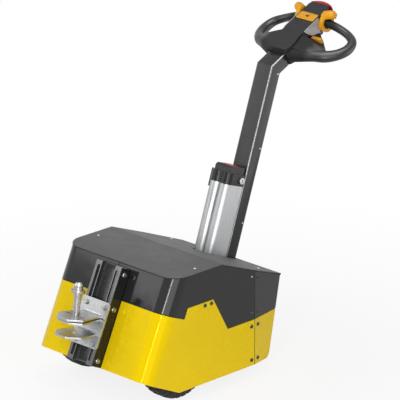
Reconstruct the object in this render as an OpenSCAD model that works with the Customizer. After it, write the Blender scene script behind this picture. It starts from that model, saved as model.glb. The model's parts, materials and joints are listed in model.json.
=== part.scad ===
// Pedestrian electric tow tractor: folded covers on a welded frame, a slotted hitch column,
// two drive wheels in front, two swivel castors behind and a cranked tiller with a loop handle.
// The hitch faces -Y, +X is its right hand as seen from the hitch, +Z is up, millimetres.

/* [Covers] */
// Width over the side covers
body_w = 480; // [440:1:520]
// Width of the rear covers at the back edge of the lid
rear_w = 431; // [400:1:440]
// Height of the flat lid above the floor
lid_h = 402; // [390:1:430]
// Flat part of the lid, from its front edge to its bend
lid_flat = 195; // [180:1:220]
// Length of the sloping part of the lid, measured level
lid_run = 281; // [270:1:300]
// Fall of the sloping part of the lid
lid_fall = 109; // [90:1:120]
// Lean of the front covers from upright
front_lean = 25; // [20:0.5:28]
// Lean of the rear covers from upright
rear_lean = 13.4; // [8:0.2:15]
// Corner radius between the front and the sides
corner_r = 53; // [35:1:60]
// Bend radius at the lower rear edge
rear_foot_r = 25; // [10:1:30]
// Height of the lower side edges above the floor
floor_gap = 35; // [30:1:50]
// Height of the lower front edge above the floor
front_gap = 106; // [95:1:120]
// Sheet thickness of the covers
sheet = 3; // [2:0.5:4]
// Shadow gap between neighbouring covers
panel_gap = 1.6; // [0.8:0.2:3]
// Distance of the upright side seam behind the lid bend
seam_y = 144; // [135:1:150]
// Overhang of the lid past the covers
lid_lip = 2; // [0:0.5:4]

/* [Colour break] */
// Height of the colour break on the front and at the peak, as a part of the lid's height
break_part = 0.746; // [0.72:0.002:0.77]
// Height of the colour break along the rear half, as a part of the lid's rear height
break_low_part = 0.631; // [0.58:0.002:0.68]
// Fall of the colour break round the front corner
break_dip = 34; // [20:1:40]

/* [Hitch] */
// Width of the hitch column
column_w = 110; // [104:1:112]
// How far the column stands out from the front covers
column_proud = 40; // [34:1:50]
// Wall thickness of the column
column_wall = 6; // [4:0.5:8]
// Width of each slotted lip
lip_w = 26; // [22:1:30]
// Width of the adjusting slots
slot_w = 10.5; // [9:0.5:12]
// Height of the bracket's back plate
plate_l = 146; // [130:1:160]
// Distance of the back plate below the lid, along the column
plate_drop = 130; // [110:1:150]
// Thickness of the back plate
plate_t = 6; // [5:0.5:10]
// Corner radius of the back plate
plate_corner = 8; // [4:0.5:12]
// Thickness of the jaw plates
jaw_t = 6; // [5:0.5:8]
// Upward tilt of the jaws
jaw_tilt = 8; // [4:0.5:12]
// Height of the towing mouth between the jaws
mouth_h = 38; // [30:1:42]
// Reach of the jaws past the pin
jaw_reach = 59; // [45:1:65]
// Half width of the jaws at their widest
jaw_half = 55; // [48:1:60]
// Diameter of the hitch pin
pin_d = 22; // [18:1:26]
// Lift of the raised pin's collar above the upper jaw
pin_lift = 72; // [66:1:80]

/* [Wheels] */
// Diameter of the drive tyres
tyre_d = 260; // [240:2:270]
// Width of the drive tyres
tyre_w = 62; // [50:1:66]
// Distance of the drive tyres inside the width over the covers
tyre_inset = 25; // [20:1:40]
// Distance of the drive axle in front of the lid bend
axle_y = 142; // [130:1:150]
// Diameter of the castor wheels
castor_d = 100; // [90:1:110]
// Width of the castor wheels
castor_w = 30; // [24:1:34]
// Distance of the castor kingpins inside the width over the covers
castor_inset = 120; // [112:1:130]
// Distance of the castor kingpins behind the lid bend
castor_y = 114; // [106:1:122]
// Trail of the castors
castor_trail = 28; // [20:1:30]

/* [Tiller] */
// Width of the tiller arm
arm_w = 65; // [55:1:70]
// Depth of the tiller arm
arm_t = 45; // [38:1:50]
// Wall of the tiller arm's tube
arm_wall = 3; // [2:0.5:4]
// Distance of the arm's front before the rear edge of the lid
arm_back = 51; // [48:1:60]
// Backward lean of the long part of the arm
arm_lean = 19.2; // [17:0.2:21]
// Height of the arm's bend
bend_h = 887; // [840:1:930]
// Slope of the tiller head
head_slope = 26; // [22:0.5:30]
// Length of the tiller head
head_l = 228; // [215:1:240]
// Half width of the tiller head
head_half = 41; // [40:0.5:46]
// Diameter of the loop handle's bar
loop_d = 27; // [22:1:32]
// Half width of the loop handle to the middle of its bar
loop_half = 177; // [160:1:190]

/* [Battery] */
// Width of the battery
battery_w = 82; // [70:1:86]
// Depth of the battery
battery_t = 73; // [60:1:80]
// Length of the battery's aluminium case
battery_l = 242; // [220:1:260]
// Height of the battery's cap
cap_l = 58; // [45:1:70]
// Gap between the battery and the arm, filled by its dock
dock_t = 12; // [8:1:16]

/* [Hidden] */
$fn = 64;

// Radial clearance of turning and sliding pins
run_gap = 0.05;
// Room between pieces that are bolted or clipped beside each other
fit_gap = 0.3;
// Length of cutting tools past the faces they cut
over = 1;
// Least room round pieces that pass through a cover
pass_gap = 5;
// Reach of cutting blocks that take away a whole side
far = 1200;

// Places on the covers' side outline, measured from the lid bend
rear_top_h = lid_h - lid_fall;
front_foot_y = -lid_flat - (lid_h - front_gap) * tan(front_lean);
side_foot_y = front_foot_y + (front_gap - floor_gap) / tan(front_lean);
taper = (body_w - rear_w) / 2 / (lid_run - seam_y);
break_h = break_part * lid_h;
break_low_h = break_low_part * rear_top_h;
// Middle of the bend at the lower rear edge
foot_turn = (90 + rear_lean) / 2;
foot_y = lid_run - (rear_top_h - floor_gap) * tan(rear_lean) - rear_foot_r / tan(foot_turn);
foot_trim = 0.6;
foot_h = floor_gap + rear_foot_r - foot_trim;

// Frame members under the covers
track = body_w - 2 * tyre_inset - tyre_w;
castor_track = body_w - 2 * castor_inset;
member_w = 30;
member_h = 50;
member_x = castor_track / 2 + 5;
member_low = 165;
member_rear_gap = 12;
member_rear = lid_run - (rear_top_h - member_low) * tan(rear_lean) - sheet - member_rear_gap;
frame_plate = 6;
post_w = 52;
post_drop = 75;
frame_x = body_w / 2 - sheet;

// Hitch column, measured along the front covers from the lid's front edge
column_top = -16;
column_foot = -(lid_h - front_gap) / cos(front_lean);
slot_x = column_w / 2 - (lip_w + column_wall) / 2;
bolt_d = 10;
bolt_edge = [17, 13];
bolt_rise = [-plate_drop - bolt_edge[0], -plate_drop - plate_l + bolt_edge[1]];

// Hitch pin, on the top of the upper jaw
pin_stand = 67;
pin_fall = 63;
pin_out = column_proud + plate_t + pin_stand;
pin_rise = -plate_drop - pin_fall;
pin_y = -lid_flat - pin_out * cos(front_lean) + pin_rise * sin(front_lean);
pin_h = lid_h + pin_out * sin(front_lean) + pin_rise * cos(front_lean);
doubler_drop = 10;
lower_jaw_z = -(doubler_drop + jaw_t + mouth_h);
pin_tip_z = -doubler_drop - jaw_t;
collar_d = 44;
collar_t = 7;
spare_hole_d = 12;
spare_hole_x = 30;
jaw_drill_l = 4 * mouth_h;

// Drive line
axle_h = tyre_d / 2;
rim_d = 172;
rim_w = 50;
spindle_d = 25;
hub_d = 60;
axle_tube_d = 58;
axle_tube_end = track / 2 - tyre_w / 2 - 12;
gear_d = 150;
gear_w = 120;
motor_d = 104;
motor_l = 105;
motor_rise = 12;
motor_seat = gear_d / 2 + 6;

// Castors
castor_h = castor_d / 2;
kingpin_d = 16;
castor_plate_t = 6;
castor_plate = [96, 84];
castor_block = [60, 72];
castor_block_h = 28;
castor_top = member_low - castor_block_h;
castor_nut_d = 28;
castor_nut_t = 8;
castor_axle_d = 12;
fork_t = 5;
fork_gap = 3;
fork_eye_r = 14;
crown_t = 8;
crown_d = 70;

// Tiller arm
arm_foot_h = member_low + member_h + frame_plate;
arm_pass_y = lid_run - arm_back;
arm_pass_h = lid_h - arm_pass_y * lid_fall / lid_run;
arm_foot_y = arm_pass_y - (arm_pass_h - arm_foot_h) * tan(arm_lean);
arm_l = (bend_h - arm_foot_h) / cos(arm_lean);
bend_y = arm_foot_y + arm_l * sin(arm_lean);
half_turn = (90 - arm_lean - head_slope) / 2;
neck_l = 63;
neck_in = 47;

// Tiller head, on the middle of its lower upper edge
head_rise = 20;
head_y = bend_y + neck_l * cos(head_slope) - head_rise * sin(head_slope);
head_h = bend_h + neck_l * sin(head_slope) + head_rise * cos(head_slope);
cover_t = 18;
body_t = 44;
base_half = 48;
seam_t = 1.2;
seam_in = 1.5;
cheek_t = 3;
button_t = 13;
button_top = 4;
button_h = 50;
paddle_s = 180;
paddle_n = -30;
paddle_d = 58;
paddle_t = 15;

// Battery, measured along the arm from its foot
case_sink = 18;
case_low_z = (arm_pass_h - arm_foot_h) / cos(arm_lean) - case_sink;
case_top_z = case_low_z + battery_l;
cap_low = 0.62 * cap_l;
cap_rim = 1;
cap_half = 0.41 * battery_w;
cap_front = -dock_t - 0.87 * battery_t;
window_w = 40;
window_l = 26;
window_in = 12;
window_t = 3;

// Front and rear ends of the whole machine, and the middle between them
front_end_y = pin_y - jaw_reach * cos(jaw_tilt) + (lower_jaw_z - jaw_t) * sin(jaw_tilt);
rear_end_y = head_y + (head_l + button_t) * cos(head_slope) + (button_top + button_h) * sin(head_slope);
mid_y = (front_end_y + rear_end_y) / 2;

// Colours
cover_grey = "#3c3d3b";
lid_grey = "#787876";
cover_yellow = "#f5d400";
steel_dark = "#2b2c2c";
zinc = "#c9cacb";
bright = "#d8d8d6";
control_yellow = "#ffbe1e";

// Places a piece that is measured from the lid bend so that the origin is below the middle
module placed() {
    translate([0, -mid_y, 0]) children();
}

// Extrudes a side outline of depth and height across the machine
module across(x0, x1) {
    translate([x0, 0, 0]) rotate([90, 0, 90]) linear_extrude(x1 - x0) children();
}

// Frame of the leaning front: up along the covers, -Y straight out of them
module on_front() {
    translate([0, -lid_flat, lid_h]) rotate([-front_lean, 0, 0]) children();
}

// Frame of the hitch jaws: up along the pin
module on_jaw() {
    translate([0, pin_y, pin_h]) rotate([-jaw_tilt, 0, 0]) children();
}

// Frame of the arm: up along its long part from its foot, -Y out of its front face
module on_arm() {
    translate([0, arm_foot_y, arm_foot_h]) rotate([-arm_lean, 0, 0]) children();
}

// Frame of the tiller head: +Y up along its slope, +Z out of its top
module on_head() {
    translate([0, head_y, head_h]) rotate([head_slope, 0, 0]) children();
}

// Block given by its lowest and highest corners
module block(low, high) {
    translate(low) cube(high - low);
}

// Flat outline of a block with rounded front corners, open towards +Y
module front_outline(inset) {
    half = body_w / 2 - inset;
    r = corner_r - inset;
    translate([-half, inset + r]) square([2 * half, far]);
    translate([-(half - r), inset]) square([2 * (half - r), 2 * r]);
    for (x = [-1, 1]) translate([x * (half - r), inset + r]) circle(r);
}

// Side outline below the given height of the lid's bend, moved inward at the rear by the inset
module side_outline(inset, top) {
    rear_y = lid_run - inset / cos(rear_lean);
    slope = lid_fall / lid_run;
    high_y = rear_y + (top - lid_h + sheet) * tan(rear_lean);
    r = rear_foot_r - inset;
    folds = 10;
    bend = [for (k = [0 : folds]) let (q = rear_lean + (90 - rear_lean) * k / folds)
        [foot_y + r * cos(q), foot_h - r * sin(q)]];
    polygon(concat(
        [[-far, top], [0, top], [high_y, top - slope * high_y]], bend, [[foot_y, 0], [-far, 0]]
    ));
}

// Plan of the covers with the tapering rear
module plan_outline(inset) {
    half = body_w / 2 - inset;
    tail_y = lid_run + post_w;
    tail = half - (tail_y - seam_y) * taper;
    polygon([
        [-half, -far], [half, -far], [half, seam_y], [tail, tail_y], [-tail, tail_y], [-half, seam_y]
    ]);
}

// Solid inside the outer faces of the covers, moved inward by the inset, up to the given height
module cover_solid(inset, top) {
    intersection() {
        on_front() translate([0, 0, -far / 2]) linear_extrude(far) front_outline(inset);
        linear_extrude(far) plan_outline(inset);
        across(-body_w, body_w) side_outline(inset, top);
    }
}

// Thin shell of all covers below the lid, cut to the lower edges and round the hitch column
module cover_shell() {
    difference() {
        cover_solid(0, lid_h - sheet);
        cover_solid(sheet, lid_h + sheet);
        block([-body_w, -far, -far], [body_w, far, floor_gap]);
        across(-body_w, body_w) polygon([
            [front_foot_y, front_gap], [front_foot_y - far, front_gap], [front_foot_y - far, -over],
            [side_foot_y, -over], [side_foot_y, floor_gap]
        ]);
        on_front() block(
            [-column_w / 2 - panel_gap, -far, column_foot - far],
            [column_w / 2 + panel_gap, 4 * sheet, column_top + panel_gap]
        );
    }
}

// Side outline of the dark upper covers, lifted by half the shadow gap
module upper_outline(lift) {
    dip_y = -157;
    step = 14;
    peak_y = -35;
    low_y = 27;
    front_y = -lid_flat - (lid_h - break_h) * tan(front_lean);
    polygon([
        [-far, break_h + break_dip * (far + front_y) / (dip_y - front_y) + lift],
        [dip_y, break_h - break_dip + lift],
        [dip_y + step, break_h - 2 + lift], [peak_y, break_h - 2 + lift],
        [low_y, break_low_h + lift], [far, break_low_h + lift],
        [far, far], [-far, far]
    ]);
}

// Part of the cover shell between two sides, above or below the colour break
module cover_panel(upper, x0, x1, y0, y1) {
    intersection() {
        cover_shell();
        block([x0, y0, 0], [x1, y1, far]);
        if (upper) across(-far, far) upper_outline(panel_gap / 2);
        else difference() {
            block([-far, -far, -over], [far, far, far]);
            across(-2 * far, 2 * far) upper_outline(-panel_gap / 2);
        }
    }
}

module lid() {
    lip_h = rear_top_h - lid_lip * lid_fall / lid_run;
    color(lid_grey) placed() difference() {
        intersection() {
            union() {
                block([-body_w, -far, lid_h - sheet], [body_w, 0, lid_h]);
                across(-body_w, body_w) polygon([
                    [0, lid_h], [lid_run + lid_lip, lip_h], [lid_run + lid_lip, lip_h - sheet],
                    [0, lid_h - sheet]
                ]);
            }
            on_front() translate([0, 0, -far / 2]) linear_extrude(far) front_outline(-lid_lip);
            linear_extrude(far) plan_outline(-lid_lip);
        }
        on_arm() block([-battery_w / 2 - pass_gap, -dock_t - battery_t - pass_gap, 0],
            [battery_w / 2 + pass_gap, arm_t + pass_gap, arm_l]);
    }
}

module upper_cover_left() color(cover_grey) placed()
    cover_panel(true, -far, -panel_gap / 2, -far, seam_y - panel_gap / 2);
module upper_cover_right() color(cover_grey) placed()
    cover_panel(true, panel_gap / 2, far, -far, seam_y - panel_gap / 2);
module skirt_left() color(cover_yellow) placed()
    cover_panel(false, -far, 0, -far, seam_y - panel_gap / 2);
module skirt_right() color(cover_yellow) placed()
    cover_panel(false, 0, far, -far, seam_y - panel_gap / 2);
module rear_cover_upper() color(cover_grey) placed()
    cover_panel(true, -far, far, seam_y + panel_gap / 2, far);
module rear_cover_lower() color(cover_yellow) placed()
    cover_panel(false, -far, far, seam_y + panel_gap / 2, far);

// Block on the right, or its mirror image on the left
module sided_block(side, low, high) {
    if (side > 0) block(low, high);
    else mirror([1, 0, 0]) block(low, high);
}

// Welded frame: two long members, cross members, front plate and the hoop behind the side seams
module chassis_frame() {
    foot_front = arm_foot_y - frame_plate;
    rail_t = 20;
    plate_in = 12;
    color(steel_dark) placed() {
        intersection() {
            for (x = [-1, 1]) sided_block(x, [member_x - member_w / 2, -far, member_low],
                [member_x + member_w / 2, member_rear, member_low + member_h]);
            on_front() block([-far, sheet, -far], [far, far, far]);
        }
        for (x = [-1, 1]) sided_block(x, [frame_x - frame_plate, seam_y - post_w / 2, floor_gap + plate_in],
            [frame_x, seam_y, lid_h - post_drop]);
        block([-member_x, foot_front, member_low], [member_x, member_rear, arm_foot_h]);
        block([-frame_x, seam_y - rail_t, member_low + rail_t], [frame_x, seam_y, member_low + member_h]);
        intersection() {
            on_front() block([-body_w / 2 + corner_r, sheet, column_foot + plate_in],
                [body_w / 2 - corner_r, sheet + frame_plate, 0]);
            block([-far, -far, 0], [far, far, lid_h - sheet]);
        }
    }
}

// Axle housing: gear case, two axle tubes and the wheel spindles
module transaxle() {
    spindle_end = track / 2 + rim_w / 2;
    seat_half = 32;
    color(steel_dark) placed() translate([0, -axle_y, axle_h]) {
        rotate([0, 90, 0]) {
            cylinder(d = gear_d, h = gear_w, center = true);
            cylinder(d = axle_tube_d, h = 2 * axle_tube_end, center = true);
            cylinder(d = spindle_d, h = 2 * spindle_end, center = true);
        }
        translate([0, 0, motor_rise]) rotate([-90, 0, 0]) cylinder(d = motor_d, h = motor_seat);
        for (x = [-1, 1]) translate([x * member_x, 0, 0])
            block([-member_w / 2, -seat_half, 0], [member_w / 2, seat_half, member_low - axle_h]);
    }
}

module drive_motor() {
    color("#4a4b4c") placed() translate([0, motor_seat - axle_y, axle_h + motor_rise])
        rotate([-90, 0, 0]) cylinder(d = 0.94 * motor_d, h = motor_l);
}

// Lipped channel with a long slot in each lip
module hitch_column() {
    half = column_w / 2;
    slot_end = 18;
    slot_low = column_foot + slot_end;
    slot_high = column_top - slot_end;
    color(cover_grey) placed() on_front() difference() {
        block([-half, -column_proud, column_foot], [half, sheet, column_top]);
        block([-half + column_wall, -column_proud + column_wall, column_foot - over],
            [half - column_wall, sheet - column_wall, column_top + over]);
        block([-half + lip_w, -column_proud - over, column_foot - over],
            [half - lip_w, -column_proud + column_wall + over, column_top + over]);
        for (x = [-slot_x, slot_x]) {
            block([x - slot_w / 2, -column_proud - over, slot_low],
                [x + slot_w / 2, -column_proud + column_wall + over, slot_high]);
            for (z = [slot_low, slot_high]) translate([x, -column_proud - over, z]) rotate([-90, 0, 0])
                cylinder(d = slot_w, h = column_wall + 2 * over);
        }
    }
}

// Outline of a jaw plate from the back plate to its chamfered nose
module jaw_outline(reach) {
    root_half = 0.75 * jaw_half;
    nose_half = 0.42 * jaw_half;
    wide_y = -0.37 * jaw_reach;
    root_y = 0.92 * pin_stand;
    polygon([
        [-root_half, 2 * pin_stand], [root_half, 2 * pin_stand], [root_half, root_y], [jaw_half, wide_y],
        [nose_half, -reach], [-nose_half, -reach], [-jaw_half, wide_y], [-root_half, root_y]
    ]);
}

// Outline of the back plate with rounded corners
module plate_outline() {
    half = 0.532 * column_w;
    low = -plate_drop - plate_l;
    r = plate_corner;
    translate([-half, low + r]) square([2 * half, plate_l - 2 * r]);
    translate([-half + r, low]) square([2 * (half - r), plate_l]);
    for (x = [-1, 1], z = [low + r, low + plate_l - r]) translate([x * (half - r), z]) circle(r);
}

// Back plate with three welded jaw plates, drilled for the pin and two spare pins
module hitch_bracket() {
    doubler_in = 8;
    color(zinc) placed() difference() {
        union() {
            on_front() translate([0, -column_proud, 0]) rotate([90, 0, 0])
                linear_extrude(plate_t) plate_outline();
            difference() {
                on_jaw() {
                    for (z = [0, lower_jaw_z]) translate([0, 0, z - jaw_t])
                        linear_extrude(jaw_t) jaw_outline(jaw_reach);
                    translate([0, 0, -doubler_drop - jaw_t])
                        linear_extrude(jaw_t) jaw_outline(jaw_reach - doubler_in);
                }
                on_front() block([-far, -column_proud - plate_t / 2, -far], [far, far, far]);
            }
        }
        on_jaw() {
            cylinder(d = pin_d + 2 * run_gap, h = jaw_drill_l, center = true);
            for (x = [-spare_hole_x, spare_hole_x]) translate([x, 0, 0])
                cylinder(d = spare_hole_d, h = jaw_drill_l, center = true);
        }
        on_front() for (x = [-slot_x, slot_x], z = bolt_rise)
            translate([x, -column_proud - plate_t - over, z]) rotate([-90, 0, 0])
                cylinder(d = bolt_d + 2 * fit_gap, h = plate_t + 2 * over);
    }
}

// Clamping bolts through the slots, with plate nuts behind the lips
module hitch_bolts() {
    head_t = 7;
    nut_t = 8;
    color(bright) placed() on_front() for (x = [-slot_x, slot_x], z = bolt_rise)
        translate([x, -column_proud - plate_t - head_t, z]) rotate([-90, 0, 0]) {
            cylinder(d = 1.8 * bolt_d, h = head_t, $fn = 6);
            cylinder(d = bolt_d, h = head_t + plate_t + column_wall + nut_t);
            translate([0, 0, head_t + plate_t + column_wall])
                cylinder(d = 1.8 * bolt_d, h = nut_t, $fn = 6);
        }
}

// Towing pin, drawn raised, with a stop collar and a round knob
module hitch_pin() {
    knob_d = 28;
    knob_h = 22;
    tip = 3;
    color(bright) placed() on_jaw() rotate_extrude() polygon([
        [0, pin_tip_z], [pin_d / 2 - tip, pin_tip_z], [pin_d / 2, pin_tip_z + tip], [pin_d / 2, pin_lift],
        [collar_d / 2, pin_lift], [collar_d / 2, pin_lift + collar_t], [knob_d / 2, pin_lift + collar_t],
        [knob_d / 2, pin_lift + collar_t + 0.7 * knob_h], [0.6 * knob_d / 2, pin_lift + collar_t + knob_h],
        [0, pin_lift + collar_t + knob_h]
    ]);
}

// Side outline of the cranked arm, moved inward by the inset
module arm_outline(inset) {
    low = [-(bend_h - arm_foot_h) * tan(arm_lean), arm_foot_h - bend_h];
    up = [cos(head_slope), sin(head_slope)];
    bisector = [sin(90 - arm_lean - half_turn), -cos(90 - arm_lean - half_turn)];
    back = [1 / cos(arm_lean), 0];
    down = [sin(head_slope), -cos(head_slope)];
    reach = neck_l + neck_in;
    near_face = inset;
    rear_face = arm_t - inset;
    translate([bend_y, bend_h]) polygon([
        low + near_face * back, near_face / cos(half_turn) * bisector, near_face * down + reach * up,
        rear_face * down + reach * up, rear_face / cos(half_turn) * bisector, low + rear_face * back
    ]);
}

module tiller_arm() {
    half = arm_w / 2;
    color("#55575a") placed() difference() {
        across(-half, half) arm_outline(0);
        across(-half + arm_wall, half - arm_wall) arm_outline(arm_wall);
    }
}

// Plan of the tiller head from its flared base to its rounded tip
module head_outline(inset) {
    foot = 0.8 * base_half - inset;
    base = base_half - inset;
    waist = head_half - inset;
    base_s = [20, 38];
    waist_s = 70;
    tip_r = 16;
    for (x = [-1, 1]) translate([x * (waist - tip_r), head_l - tip_r - inset]) circle(tip_r);
    polygon([
        [-foot, inset], [foot, inset], [base, base_s[0]], [base, base_s[1]], [waist, waist_s],
        [waist, head_l - tip_r - inset], [waist - tip_r, head_l - inset], [tip_r - waist, head_l - inset],
        [-waist, head_l - tip_r - inset], [-waist, waist_s], [-base, base_s[1]], [-base, base_s[0]]
    ]);
}

// Pocket of the horn button in the top of the head, or the button itself
module horn_space(inset) {
    half = 37 - inset;
    low = 142 + inset;
    high = 176 - inset;
    r = 6 - inset;
    depth = 5;
    translate([0, 0, -depth]) linear_extrude(depth + over) {
        translate([-half, low + r]) square([2 * half, high - low - 2 * r]);
        translate([-half + r, low]) square([2 * (half - r), high - low]);
        for (x = [-1, 1], y = [low + r, high - r]) translate([x * (half - r), y]) circle(r);
    }
}

// Room for the upper end of the arm inside the head
module arm_socket() {
    rotate([-head_slope, 0, 0]) translate([0, -head_y, -head_h])
        across(-arm_w / 2, arm_w / 2) arm_outline(0);
}

module head_cover() {
    color("#4d4f50") placed() on_head() difference() {
        translate([0, 0, -cover_t]) linear_extrude(cover_t) head_outline(0);
        horn_space(0);
        arm_socket();
    }
}

// Lower moulding of the head that carries both loops, below a shadow seam
module handle_body() {
    nose_s = 165;
    nose_t = 34;
    color("#1d1e1f") placed() on_head() difference() {
        union() {
            translate([0, 0, -cover_t - seam_t]) linear_extrude(seam_t) head_outline(seam_in);
            translate([0, 0, -cover_t - body_t]) linear_extrude(body_t - seam_t) head_outline(0);
        }
        block([-far, nose_s, -far], [far, far, -cover_t - nose_t]);
        arm_socket();
    }
}

// Centre line of the right loop: across, along the slope and above the head's top, then its radius
loop_r = loop_d / 2;
root_r = 25;
grip_r = 1.28 * loop_r;
loop_path = [
    [0.8 * base_half, 19, -35, root_r], [0.4 * loop_half, 31, -39, 0.86 * root_r],
    [0.6 * loop_half, 45, -44, 1.08 * grip_r], [0.79 * loop_half, 61, -51, 1.08 * grip_r],
    [0.94 * loop_half, 89, -58, grip_r], [loop_half, 124, -63, 0.95 * grip_r],
    [0.95 * loop_half, 157, -62, 0.85 * grip_r], [0.78 * loop_half, 176, -56, loop_r],
    [0.55 * loop_half, paddle_s + 2, -43, loop_r],
    [head_half + paddle_t + 5, paddle_s, paddle_n - 1, loop_r], [head_half, paddle_s, paddle_n, loop_r]
];
loop_steps = 5;
loop_sides = 16;

// Point of a smooth curve through the points of a path
function curve_point(path, i, t) = let (
    a = path[max(i - 1, 0)], b = path[i], c = path[i + 1], d = path[min(i + 2, len(path) - 1)]
) 0.5 * (2 * b + (c - a) * t + (2 * a - 5 * b + 4 * c - d) * t * t + (3 * b - a - 3 * c + d) * t * t * t);

function unit(v) = v / norm(v);
function place(p) = [p[0], p[1], p[2]];

// Solid tube along a curve with the radius given at each point, its ends square to X
module tube_along(path) {
    steps = (len(path) - 1) * loop_steps;
    points = [for (k = [0 : steps]) curve_point(path, min(floor(k / loop_steps), len(path) - 2),
        k == steps ? 1 : k / loop_steps - floor(k / loop_steps))];
    rings = [for (k = [0 : steps]) let (
        along = place(points[min(k + 1, steps)]) - place(points[max(k - 1, 0)]),
        ahead = k == 0 || k == steps ? [sign(along[0]), 0, 0] : unit(along),
        side = unit(cross([0, 0, 1], ahead)),
        up = cross(ahead, side)
    ) for (j = [0 : loop_sides - 1]) let (q = 360 * j / loop_sides)
        place(points[k]) + points[k][3] * (cos(q) * side + sin(q) * up)];
    walls = [for (k = [0 : steps - 1], j = [0 : loop_sides - 1]) let (
        n = (j + 1) % loop_sides, low = k * loop_sides, high = low + loop_sides
    ) [low + j, high + j, high + n, low + n]];
    caps = [[for (j = [0 : loop_sides - 1]) j],
        [for (j = [loop_sides - 1 : -1 : 0]) steps * loop_sides + j]];
    polyhedron(rings, concat(walls, caps), convexity = 6);
}

// Plan of the web in the corner between the head and the right loop, and the height of its sloping top
web_plan = [
    [head_half, 40], [0.55 * loop_half, 39], [0.75 * loop_half, 54], [0.7 * loop_half, 76],
    [0.6 * loop_half, 98], [0.42 * loop_half, 126], [head_half, 150]
];
web_t = 11;
web_root = [114, -37];
web_fall = [0.35, 0.333];
function web_top(p) = web_root[1] - web_fall * [p[0] - head_half, p[1] - web_root[0]];

module loop_web() {
    n = len(web_plan);
    points = [for (drop = [web_t, 0], p = web_plan) [p[0], p[1], web_top(p) - drop]];
    walls = [for (k = [0 : n - 1]) [k, n + k, n + (k + 1) % n, (k + 1) % n]];
    low = [for (k = [0 : n - 1]) k];
    high = [for (k = [n - 1 : -1 : 0]) n + k];
    polyhedron(points, concat(walls, [low, high]), convexity = 4);
}

// Shoulder that falls from the head's top edge to the right loop
module loop_shoulder() {
    top = -6;
    low = -46;
    hull() {
        block([head_half - 1, 34, low], [head_half + 1, 89, top]);
        block([base_half - 1, 21, low], [base_half + 1, 38, top]);
        translate([0.55 * loop_half, 44, -41]) sphere(0.9 * grip_r, $fn = 32);
        translate([0.77 * loop_half, 66, -50]) sphere(0.8 * grip_r, $fn = 32);
    }
}

// Long thumb button that stands in the web, or its pocket
module thumb_button(grow) {
    thumb_x = [50, 76];
    thumb_s = 113;
    thumb_r = 7 + grow;
    thumb_n = [-54, -39];
    translate([0, 0, thumb_n[0] - grow]) linear_extrude(thumb_n[1] - thumb_n[0] + grow) {
        for (x = thumb_x) translate([x, thumb_s]) circle(thumb_r);
        translate([thumb_x[0], thumb_s - thumb_r]) square([thumb_x[1] - thumb_x[0], 2 * thumb_r]);
    }
}

// Right loop with its web and shoulder, grown thicker towards the head
module loop() {
    difference() {
        union() {
            tube_along(loop_path);
            loop_web();
            loop_shoulder();
        }
        thumb_button(fit_gap);
        translate([0, 0, -far / 2]) linear_extrude(far) head_outline(0);
    }
}

module loop_right() color("#1d1e1f") placed() on_head() loop();
module loop_left() color("#1d1e1f") placed() mirror([1, 0, 0]) on_head() loop();

// Pale side plates of the head between its top edge and the webs
module head_cheeks() {
    color("#9a9b9d") placed() on_head() for (x = [-1, 1]) translate([x * (head_half + cheek_t / 2), 0, 0])
        rotate([90, 0, 90]) linear_extrude(cheek_t, center = true)
            polygon([[93, 0], [164, 0], [151, -49], [117, -36], [98, -12]]);
}

// Thumb wing on a ring that turns about the right loop's bar, beside the head
module paddle() {
    room = loop_d + 8;
    inner = head_half + cheek_t + fit_gap;
    wing = [
        [inner + 1, paddle_s + 6, paddle_n + 21, 16], [inner + 14, paddle_s + 11, paddle_n + 23, 15.5],
        [inner + 25, paddle_s + 16, paddle_n + 23, 15], [inner + 34, paddle_s + 20, paddle_n + 22, 13],
        [inner + 39, paddle_s + 22, paddle_n + 22, 7]
    ];
    difference() {
        union() {
            translate([inner, paddle_s, paddle_n]) rotate([0, 90, 0]) cylinder(d = paddle_d, h = paddle_t);
            tube_along(wing);
        }
        translate([head_half, paddle_s, paddle_n]) rotate([0, 90, 0]) cylinder(d = room, h = 2 * paddle_d);
        block([-far, -far, -far], [inner, far, far]);
    }
}

module paddle_left() color(control_yellow) placed() mirror([1, 0, 0]) on_head() paddle();
module paddle_right() color(control_yellow) placed() on_head() paddle();

module horn_button() {
    color(control_yellow) placed() on_head() horn_space(0.5);
}

module belly_button() {
    half = head_half + 3;
    r = 88;
    color("#c8201c") placed() on_head() translate([0, 0, -button_top - button_h]) linear_extrude(button_h)
        intersection() {
            translate([-half, head_l]) square([2 * half, button_t]);
            translate([0, head_l + button_t - r]) circle(r);
        }
}

module side_buttons() {
    color(control_yellow) placed() on_head() {
        thumb_button(0);
        mirror([1, 0, 0]) thumb_button(0);
    }
}

// Tray on the front of the arm that guides and carries the battery
module battery_dock() {
    rail_half = 26;
    shelf = 8;
    color(steel_dark) placed() on_arm() {
        block([-rail_half, -dock_t, case_low_z - shelf], [rail_half, 0, case_top_z]);
        block([-battery_w / 2, -dock_t - battery_t, case_low_z - shelf],
            [battery_w / 2, -dock_t, case_low_z]);
    }
}

// Plan of the battery: two rounded lobes in front with a groove between them
module battery_outline(grow) {
    lobe = battery_w / 4;
    front = -dock_t - battery_t + lobe;
    translate([-battery_w / 2 - grow, front]) square([battery_w + 2 * grow, battery_t - lobe]);
    for (x = [-lobe, lobe]) translate([x, front]) circle(lobe + grow);
}

module battery_case() {
    color("#b9bcbf") placed() on_arm() translate([0, 0, case_low_z])
        linear_extrude(battery_l) battery_outline(0);
}

// Cap: a band that follows the lobes and a smaller raised top with chamfered edges
module battery_cap() {
    chamfer = 7;
    top = case_top_z + cap_l;
    color("#1b1c1d") placed() on_arm() difference() {
        union() {
            translate([0, 0, case_top_z]) linear_extrude(cap_low) battery_outline(cap_rim);
            intersection() {
                block([-cap_half, cap_front, case_top_z], [cap_half, -dock_t, top]);
                across(-cap_half, cap_half) polygon([
                    [cap_front, case_top_z], [cap_front, top - chamfer], [cap_front + chamfer, top],
                    [-dock_t, top], [-dock_t, case_top_z]
                ]);
            }
        }
        window_space(0);
    }
}

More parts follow.
